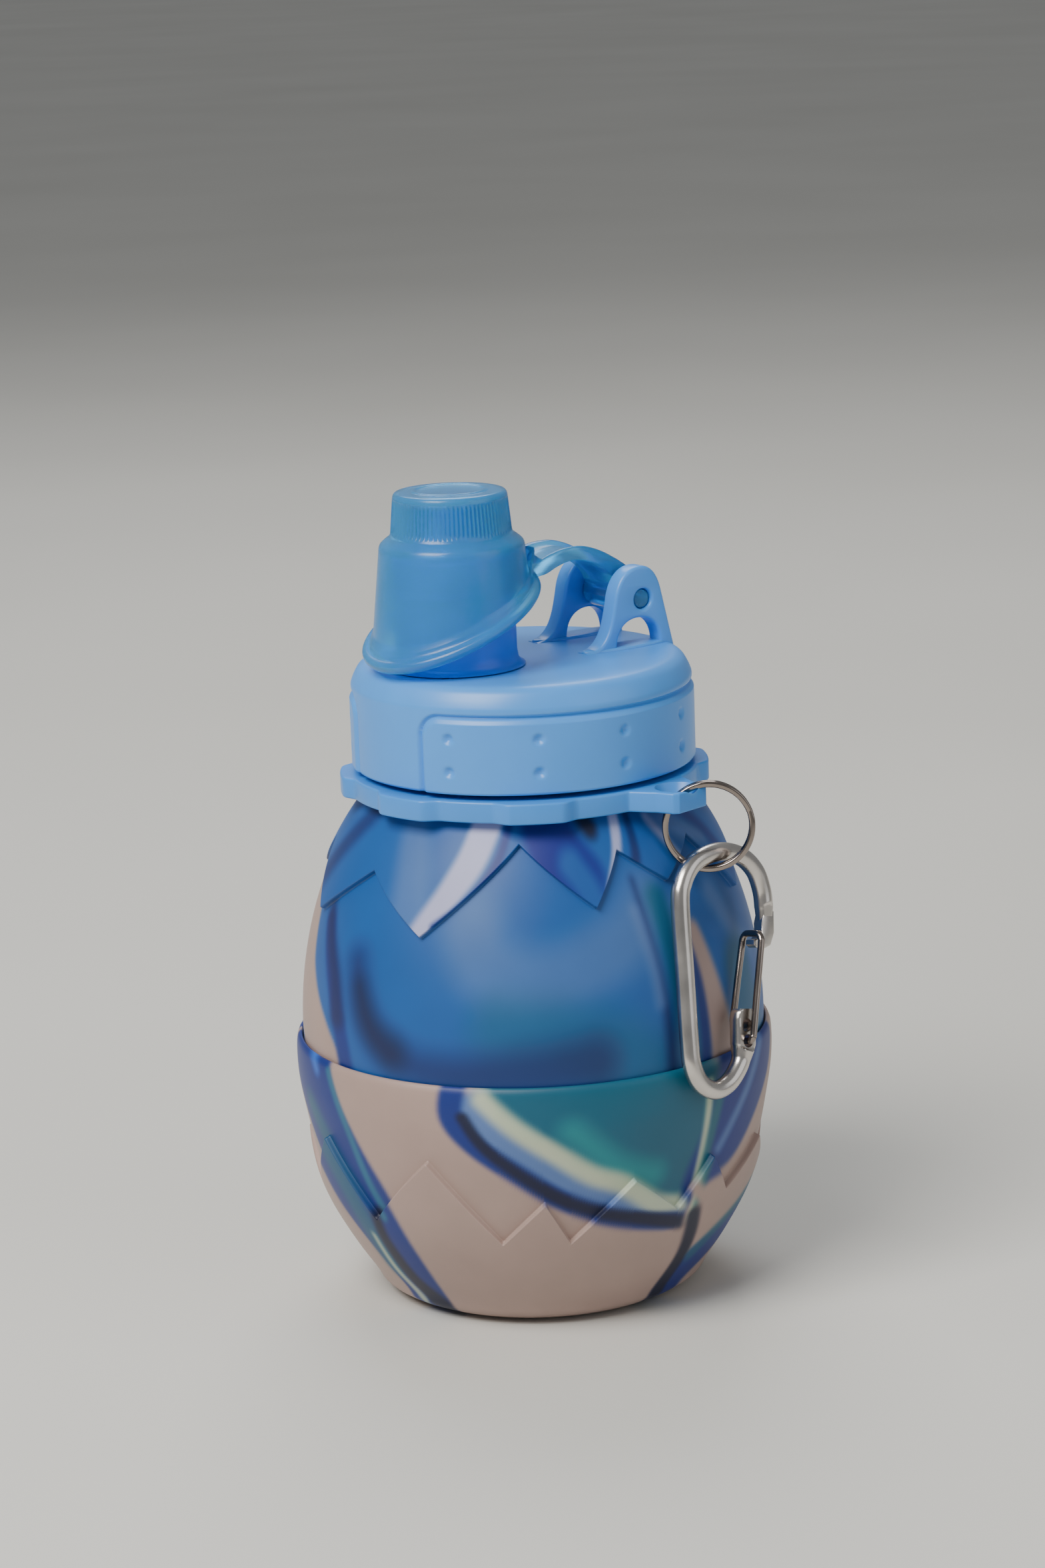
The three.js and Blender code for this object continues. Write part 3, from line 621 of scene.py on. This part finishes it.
def make_collar():
    angles = np.linspace(-math.pi, math.pi, 1440, endpoint=False)
    wave = np.clip(0.45 + 1.1 * np.cos(8 * (angles - LUG_ANGLE)), 0, 1)
    wave = wave * wave * (3 - 2 * wave)
    r = 36.4 + (38.3 - 36.4) * wave
    local = (angles - LUG_ANGLE + math.pi) % (2 * math.pi) - math.pi
    lug_angles = [math.atan2(y, x) for x, y in LUG_HALF][::-1]
    lug_radii = [math.hypot(x, y) for x, y in LUG_HALF][::-1]
    end = 45.2 / np.cos(np.minimum(np.abs(local), 0.3))
    lug = np.where(np.abs(local) < lug_angles[0], end, np.interp(np.abs(local), lug_angles, lug_radii, right=0))
    r = np.maximum(r, lug)
    outline = list(zip(r * np.cos(angles), r * np.sin(angles)))
    hole = (41.1 * math.cos(LUG_ANGLE), 41.1 * math.sin(LUG_ANGLE))
    piece = filled_outline("neck_collar", [outline, circle(0, 0, 30.3, 240), circle(*hole, 3.0)], 107.0, 111.3, 0.45)
    dish = [(0.01, 108.9), (2.9, 108.9), (3.3, 109.0), (4.6, 111.4), (5.2, 112.4), (0.01, 112.4)]
    cutter = revolve("dish", dish, 64)
    cutter.data.transform(Matrix.Translation((hole[0] * MM, hole[1] * MM, 0)))
    cut(piece, cutter)
    finish(piece, COLLAR_BLUE, "neck", "blue_plastic", "collar_ring")


# ---------------------------------------------------------------- lid: shell, panels, ears

PANEL_HALF = math.radians(71)
PANEL_TOP = 128.2
PANEL_CORNER = 4.5


def panel_distance(angle, z):
    """Signed distance in mm to the nearer panel's outline, negative inside."""
    across = np.abs((angle % math.pi) - math.pi / 2)
    dx = across * 35.3 - (PANEL_HALF * 35.3 - PANEL_CORNER)
    dz = z - (PANEL_TOP - PANEL_CORNER)
    outside = np.hypot(np.maximum(dx, 0), np.maximum(dz, 0)) - PANEL_CORNER
    return outside + np.minimum(np.maximum(dx, dz), 0)


def lid_shape(angle, r, z):
    angle = angle + 0 * z
    on_side = (r > 34.9) & (z < 130)
    d = panel_distance(angle, z)
    push = 0.38 * (1 - smoothstep(-1.5, -0.6, d)) - 0.75 * np.exp(-(d / 0.42) ** 2)
    for sign in (-1, 1):
        for column in range(-2, 3):
            middle = sign * math.pi / 2 + math.radians(30 * column)
            near = (angle - middle + math.pi) % (2 * math.pi) - math.pi
            for row in (117.0, 123.8):
                distance = np.hypot(near * 35.3, z - row)
                push = push - 0.75 * np.exp(-(distance / 0.95) ** 2.6)
    return r + np.where(on_side, push, 0), z


def ear_outline():
    def bezier(a, b, c, d, count=16):
        t = np.linspace(0, 1, count, endpoint=False)[:, None]
        a, b, c, d = map(np.array, (a, b, c, d))
        return list((1 - t) ** 3 * a + 3 * (1 - t) ** 2 * t * b + 3 * (1 - t) * t * t * c + t**3 * d)

    x = 24.0
    outline = [(x - 14.5, 133.4)]
    outline += bezier((x - 14.5, 134.3), (x - 9.2, 134.6), (x - 8.2, 139.5), (x - 7.2, 144.2), 24)
    outline += bezier((x - 7.2, 144.2), (x - 6.4, 148.8), (x - 3.9, 151), (x - 0.6, 151), 20)
    outline += bezier((x - 0.6, 151), (x + 2.6, 151), (x + 4.2, 148.6), (x + 5, 145), 20)
    outline += [(x + 5, 145), (x + 7.9, 133.2), (x + 7.4, 132.6)]
    arch = bezier((x - 6.9, 134.2), (x - 6.9, 138.2), (x - 4.4, 140.2), (x - 1.3, 140.2), 18)
    arch += bezier((x - 1.3, 140.2), (x + 1.9, 140.2), (x + 4.2, 138.2), (x + 4.2, 134.2), 18)
    arch += [(x + 4.2, 134.2)]
    return [outline, circle(24, 144, 2.15, 48), arch]


def stand_up(piece, middle_y):
    """Turns a plate drawn in X and Y so that it stands in X and Z at middle_y (mm)."""
    piece.data.transform(Matrix.Rotation(math.pi / 2, 4, "X"))
    piece.data.transform(Matrix.Translation((0, middle_y * MM, 0)))
    return piece


def join(first, *others):
    import bmesh

    work = bmesh.new()
    for piece in (first, *others):
        work.from_mesh(piece.data)
    work.to_mesh(first.data)
    work.free()
    for piece in others:
        bpy.data.objects.remove(piece)
    return first


def make_lid():
    outer = [(34.4, 112.45), (35.0, 112.5), (35.3, 112.9)]
    side = [(35.3, z) for z in np.linspace(113.1, 129.3, 120)]
    bevel = catmull([(35.3, 129.5), (35.15, 130.2), (34.5, 131.7), (33.6, 133.1), (32.3, 133.95), (30.8, 134.2)], 5)
    top = [(r, 134.2) for r in (28, 22, 14, 6, 0.02)]
    under = [(0.02, 131.4), (20, 131.4), (32.3, 131.4), (32.9, 130.8), (32.9, 120), (32.9, 113), (33.2, 112.5)]
    shell = revolve("lid_cover", outer + side + list(map(tuple, bevel)) + top + under, 700, shape=lid_shape, smooth_angle=50)
    ears = []
    for sign in (-1, 1):
        ear = filled_outline("ear", ear_outline(), -2.1, 2.1, 0.7)
        ears.append(stand_up(ear, sign * 8.8))
        foot = [(24 + 9.6 * math.cos(a) * 1.18 - 3.2, sign * 8.8 + 3.1 * math.sin(a)) for a in np.linspace(0, 2 * math.pi, 64, endpoint=False)]
        foot = [(min(px, 31.6), py) for px, py in foot]
        ears.append(filled_outline("ear_foot", [foot], 133.6, 134.75, 0.5))
    join(shell, *ears)
    finish(shell, LID_BLUE, "lid", "blue_plastic", "lid_shell", "grip_panel_front", "grip_panel_back")


def thread_solid(name, wall_in, wall_out, bottom, top, ridge, start_z, turns):
    """Tube with a helical ridge, on its outside (ridge > 0) or its inside (ridge < 0)."""
    pitch = 5.0
    rows = 130
    z_wall = np.linspace(bottom, top, rows)
    outward = [(wall_out, z) for z in z_wall]
    inward = [(wall_in, z) for z in z_wall[::-1]]

    def shape(angle, r, z):
        turn = (angle + 0 * z) % (2 * math.pi)
        height = np.zeros_like(z)
        for loop in range(int(turns) + 1):
            along = turn / (2 * math.pi) + loop
            d = np.abs(z - (start_z + along * pitch))
            fade = smoothstep(0, 0.04, along) * (1 - smoothstep(turns - 0.04, turns, along))
            height = np.maximum(height, (1 - smoothstep(0.5, 0.95, d)) * fade)
        on_wall = (r == wall_out) if ridge > 0 else (r == wall_in)
        return r + np.where(on_wall, ridge * height, 0), z

    return revolve(name, outward + inward, 240, shape=shape, smooth_angle=45)


def make_threads():
    neck = thread_solid("neck_thread", 24.6, 28, 115.2, 129, 1.7, 117.4, 1.8)
    body = [(24.6, 101), (27.1, 101), (27.2, 101.2), (27.2, 113.2), (30.0, 113.2), (30.2, 113.4), (30.2, 115.0), (30.0, 115.2), (24.6, 115.2)]
    join(neck, revolve("neck_body", body, 240))
    finish(neck, COLLAR_BLUE, "neck", "blue_plastic", "threaded_neck")
    liner = thread_solid("lid_inner_thread", 30.5, 32.6, 113, 131, -1.7, 119.9, 1.2)
    finish(liner, COLLAR_BLUE, "lid", "blue_plastic", "lid_liner")
    gasket = revolve("lid_seal", round_profile([(24.8, 130.1), (24.8, 129.3), (29.2, 129.3), (29.2, 130.9), (24.8, 130.9), (24.8, 130.1)], 3), 160, close=False)
    finish(gasket, SEAL, "gasket", "seal_rubber", "lid_gasket")


# ---------------------------------------------------------------- spout and dust cap

SPOUT_X = -16.0


def make_spout():
    profile = [
        (4.5, 131.2), (8.9, 131.2), (9, 134.5), (14.2, 134.5), (13.3, 134.9), (12.8, 135.8), (12.55, 137.5), (12.5, 143), (12.5, 148.3),
        (12.8, 148.9), (13.1, 149.6), (13.1, 150.3), (12.8, 151), (12.5, 151.6), (12.5, 156.6), (12.2, 157.3), (11.6, 157.6),
        (8.6, 157.7), (7.9, 158.2), (7.5, 159.4), (6.6, 166.6), (6.3, 167.3), (5.8, 167.5), (5.0, 167.45), (4.5, 166.8), (4.5, 150),
    ]
    piece = revolve("spout_nozzle", profile, 160, x=SPOUT_X, smooth_angle=50)
    finish(piece, SPOUT_BLUE, "lid", "spout_plastic", "drink_spout")


def wall_radius(z):
    return 16.9 + (14.85 - 16.9) * (z - 140) / 19.5


def make_dust_cap():
    ribs = 84
    columns = ribs * 8
    angle = np.linspace(0, 2 * math.pi, columns, endpoint=False)
    c, s = np.cos(angle), np.sin(angle)
    rim = np.full(columns, 143.9)
    for _ in range(6):
        rim = 143.9 + 0.45 * wall_radius(rim) * c
    rim_wall = wall_radius(rim)
    rib_wave = 0.5 + 0.5 * np.cos(ribs * angle)
    rows = []

    def row(r, z):
        r, z = r + 0 * angle, z + 0 * angle
        rows.append(np.stack([SPOUT_X + r * c, r * s, z], axis=-1))

    for out, up in catmull([(-1.3, 0.5), (-1.1, -0.35), (-0.3, -0.85), (0.7, -0.9), (1.6, -0.3), (1.95, 0.55), (1.6, 1.35), (0.8, 1.75),
                            (0.35, 2.2), (0.05, 3.2)], 3):
        row(rim_wall + out, rim + up)
    for t in np.linspace(0.05, 1, 26):
        z = (rim + 3.2) + (158.9 - rim - 3.2) * t
        row(wall_radius(z), z)
    for r, z in catmull([(14.85, 159.2), (14.5, 159.95), (13.4, 160.9), (12.75, 161.35), (12.5, 161.8)], 4):
        row(r, z)
    for t in np.linspace(0, 1, 14):
        z = 162.0 + 7.0 * t
        depth = 0.34 * smoothstep(0, 0.12, t) * (1 - smoothstep(0.93, 1, t))
        row(12.4 - 0.65 * t - depth * rib_wave, z)
    for r, z in catmull([(11.72, 169.2), (11.55, 169.8), (11.1, 170.25), (10.4, 170.4)], 4):
        row(r, z)
    for r in (9.2, 8.2):
        row(r, 170.42)
    for r, z in [(7.9, 170.42), (7.75, 170.62), (7.4, 170.7), (7.05, 170.62), (6.9, 170.42), (6.4, 170.4)]:
        row(r, z)
    for r, z in [(4, 170.4), (2, 170.4), (0.02, 170.4), (0.02, 168.9), (5, 168.9), (10.2, 168.8), (10.45, 168.3), (10.8, 161.4), (11.2, 160.9),
                 (13.2, 159.3), (13.6, 158.7)]:
        row(r, z)
    for t in np.linspace(0.03, 1, 24):
        z = 158.7 + (rim + 0.9 - 158.7) * t
        row(wall_radius(z) - 1.3, z)
    shell = recalc(grid("dust_cap_shell", np.array(rows) * MM, close_rows=True, smooth_angle=55))

    # strap: middle line, thickness and half width along it
    middle = catmull([(-2.0, 153.7), (-0.4, 153.2), (2.4, 152.9), (5.4, 153.9), (8.8, 154.6), (12.6, 154.4), (16.5, 153), (20, 150.9),
                      (22.6, 148.2), (23.9, 144.6)], 8)
    count = len(middle)
    t = np.linspace(0, 1, count)
    thick = np.interp(t, [0, 0.08, 0.2, 0.45, 0.75, 0.9, 1], [8.2, 6.0, 3.6, 3.0, 3.3, 4.6, 5.4])
    half = np.interp(t, [0, 0.1, 0.25, 0.6, 1], [7.2, 6.5, 6.2, 6.1, 6.05])
    tangent = np.gradient(middle, axis=0)
    tangent /= np.linalg.norm(tangent, axis=1)[:, None]
    normal = np.stack([-tangent[:, 1], tangent[:, 0]], axis=1)
    across = np.array([-1, -0.99, -0.94, -0.86, -0.76, -0.66, -0.4, 0, 0.4, 0.66, 0.76, 0.86, 0.94, 0.99, 1])
    crest = np.array([0.25, 0.42, 0.5, 0.5, 0.42, 0.22, 0.14, 0.12, 0.14, 0.22, 0.42, 0.5, 0.5, 0.42, 0.25])
    strap_rows = []
    for i in range(count):
        channel = smoothstep(0.04, 0.16, t[i]) * (1 - smoothstep(0.72, 0.86, t[i]))
        top = crest * channel + np.minimum(crest + 0.3, 0.5) * (1 - channel)
        section = [(a, h) for a, h in zip(across, top)] + [(1, -0.3), (0.96, -0.45), (0.8, -0.5), (0, -0.5), (-0.8, -0.5), (-0.96, -0.45), (-1, -0.3)]
        strap_rows.append([(middle[i, 0] + normal[i, 0] * h * thick[i], a * half[i], middle[i, 1] + normal[i, 1] * h * thick[i])
                           for a, h in section])
    strap = recalc(grid("strap", np.array(strap_rows) * MM, caps=True, smooth_angle=50))
    barrel = [(24 + 3.25 * math.cos(a), 3.25 * math.sin(a)) for a in np.linspace(0, 2 * math.pi, 64, endpoint=False)]
    barrel = [(x, 144 + z) for x, z in barrel]
    hub = stand_up(filled_outline("hub", [barrel], -6.1, 6.1, 0.6), 0)
    pegs = stand_up(filled_outline("pegs", [circle(24, 144, 1.95, 40)], -10.2, 10.2, 0.3), 0)
    join(shell, strap, hub, pegs)
    finish(shell, CAP_CLEAR, "cap", "clear_blue_plastic", "dust_cap")


# ---------------------------------------------------------------- split ring and carabiner

RING = Vector((36.7, -27.7, 103.0))
HANG = Matrix.Rotation(math.radians(-35), 4, "Z")
CLIP = (HANG @ Matrix.Translation((RING.x, RING.y, 97.0)) @ Matrix.Rotation(math.radians(42), 4, "Z")
        @ Matrix.Rotation(math.radians(-10.5), 4, "X") @ Matrix.Rotation(math.radians(7), 4, "Y"))


def placed(piece, matrix):
    """Moves a piece made in mm-frame coordinates by a matrix whose shifts are in mm."""
    metres = matrix.copy()
    metres.translation = matrix.translation * MM
    piece.data.transform(metres)
    return piece


def make_ring():
    path = []
    for i in range(241):
        share = i / 240
        turn = share * 4 * math.pi + math.radians(20)
        along = float(smoothstep(0.42, 0.58, share)) * 1.12 - 0.56
        path.append((RING.x + 8.8 * math.cos(turn), RING.y + along, RING.z + 8.8 * math.sin(turn)))

    def flatten(points):
        centre_y = np.array(path)[:, None, 1]
        points[:, :, 1] = centre_y + np.clip(points[:, :, 1] - centre_y, -0.49, 0.49)
        return points

    piece = sweep("key_ring", path, 0.64, 16, flatten=flatten)
    finish(placed(piece, HANG), STEEL, "ring", "ring_steel", "split_ring")


FLAT = 1.45


def make_carabiner():
    points = [
        (6.4, -31.7), (6.2, -34.2), (6.0, -37.2), (5.6, -40), (4.2, -43.2), (0.9, -46.3), (-3, -47.3), (-6.6, -45.6), (-8.6, -42),
        (-9, -37), (-9, -23), (-9, -9.5), (-8, -5.2), (-5.2, -1.7), (-1, 0), (3.9, 0.4), (8.8, -0.9), (12.4, -4), (14, -8), (14.3, -11.5),
        (14.1, -14.6),
    ]
    line = catmull([(x, 0, z) for x, z in points], 12)
    share = np.linspace(0, 1, len(line))
    steps = len(points) - 1
    radius = np.interp(share * steps, [0, 0.35, 0.8, 2.6, 3.6, 18.3, 19, 20], [1.9, 2.5, 2.75, 2.7, 1.95, 1.95, 1.95, 1.6])

    def flatten(rows):
        place = share * steps
        limit = np.interp(place, [0, 2.9, 3.35, 18.4, 18.9, 20], [FLAT, FLAT, 4, 4, FLAT, 1.2])[:, None]
        rows[:, :, 1] = np.clip(rows[:, :, 1], -limit, limit)
        return rows

    piece = sweep("carabiner_bar", line, radius, 32, flatten=flatten, smooth_angle=42)
    nose = [(15.9, -12.6), (15.6, -17), (14.4, -19.4), (12.8, -19.9), (10.4, -19.6), (9.7, -18.9), (9.8, -18), (11.3, -17.8), (12.2, -16.9),
            (12.3, -14.8), (13.2, -12.4)]
    hook = stand_up(filled_outline("nose", [nose], -1.3, 1.3, 0.22), 0)
    for side in (-1, 1):
        hole = stand_up(filled_outline("hole", [circle(6.05, -36.6 + side * 1.6, 1.35, 40)], -4, 4, 0.05), 0)
        cut(piece, hole)
    join(piece, hook)
    finish(placed(piece, CLIP), ALUMINIUM, "clip", "clip_aluminium", "carabiner_frame")


def make_gate():
    x, z, top_x, top_z, offset, spread = 6.05, -36.6, 10.5, -16.7, 1.6, 2.8

    def leg(side):
        hole_z = z + side * offset
        return [
            (x, side * 0.3, hole_z), (x, side * 1.2, hole_z), (x, side * (spread - 0.7), hole_z + 0.05),
            (x + 0.1, side * spread, hole_z + 0.8), (x + 0.4, side * spread, hole_z + 2),
            (x + (top_x - x) * 0.5, side * spread, (hole_z + top_z) / 2),
            (top_x - 0.45, side * spread, top_z - 2.6), (top_x - 0.15, side * (spread - 0.15), top_z - 1.1),
            (top_x, side * (spread - 0.9), top_z - 0.15), (top_x, side * (spread - 1.9), top_z),
        ]

    path = catmull(leg(1) + leg(-1)[::-1], 10)
    piece = sweep("spring_gate", path, 0.7, 16)
    finish(placed(piece, CLIP), STEEL, "gate", "gate_steel", "wire_gate")


# ---------------------------------------------------------------- stage


def make_stage():
    size = 12.0
    floor = new_object("floor", [(-size, -size, 0), (size, -size, 0), (size, size, 0), (-size, size, 0)], [(0, 1, 2, 3)], 0)
    material, tree, shader = nodes_of("pale_floor")
    shader.inputs["Roughness"].default_value = 0.7
    coordinates = tree.nodes.new("ShaderNodeTexCoord")
    texture = tree.nodes.new("ShaderNodeTexNoise")
    texture.inputs["Scale"].default_value = 3
    tree.links.new(coordinates.outputs["Object"], texture.inputs["Vector"])
    ramp_into(tree, texture.outputs["Fac"], shader.inputs["Base Color"], [(0.2, (0.6, 0.59, 0.55)), (0.8, (0.66, 0.65, 0.61))])
    floor.data.materials.append(material)


def area_light(name, azimuth, elevation, distance, size, power, colour=(1, 1, 1)):
    a, e = math.radians(azimuth), math.radians(elevation)
    data = bpy.data.lights.new(name, "AREA")
    data.energy = power
    data.size = size
    data.color = colour
    lamp = bpy.data.objects.new(name, data)
    bpy.context.scene.collection.objects.link(lamp)
    direction = Vector((math.sin(a) * math.cos(e), -math.cos(a) * math.cos(e), math.sin(e)))
    lamp.location = Vector((0, 0, 0.09)) + direction * distance
    lamp.rotation_euler = (-direction).to_track_quat("-Z", "Y").to_euler()


def make_lights():
    area_light("key", -75, 48, 1.3, 0.7, 22, (1.0, 0.98, 0.95))
    area_light("fill", 25, 22, 1.5, 1.1, 3.5, (0.95, 0.97, 1.0))
    area_light("back", 150, 50, 1.4, 0.8, 9)
    world = bpy.data.worlds.new("studio")
    world.use_nodes = True
    world.node_tree.nodes["Background"].inputs["Color"].default_value = (0.86, 0.88, 0.9, 1)
    world.node_tree.nodes["Background"].inputs["Strength"].default_value = 0.3
    bpy.context.scene.world = world


make_collar()
make_lid()
make_threads()
make_spout()
make_dust_cap()
make_ring()
make_carabiner()
make_gate()
make_stage()
make_lights()
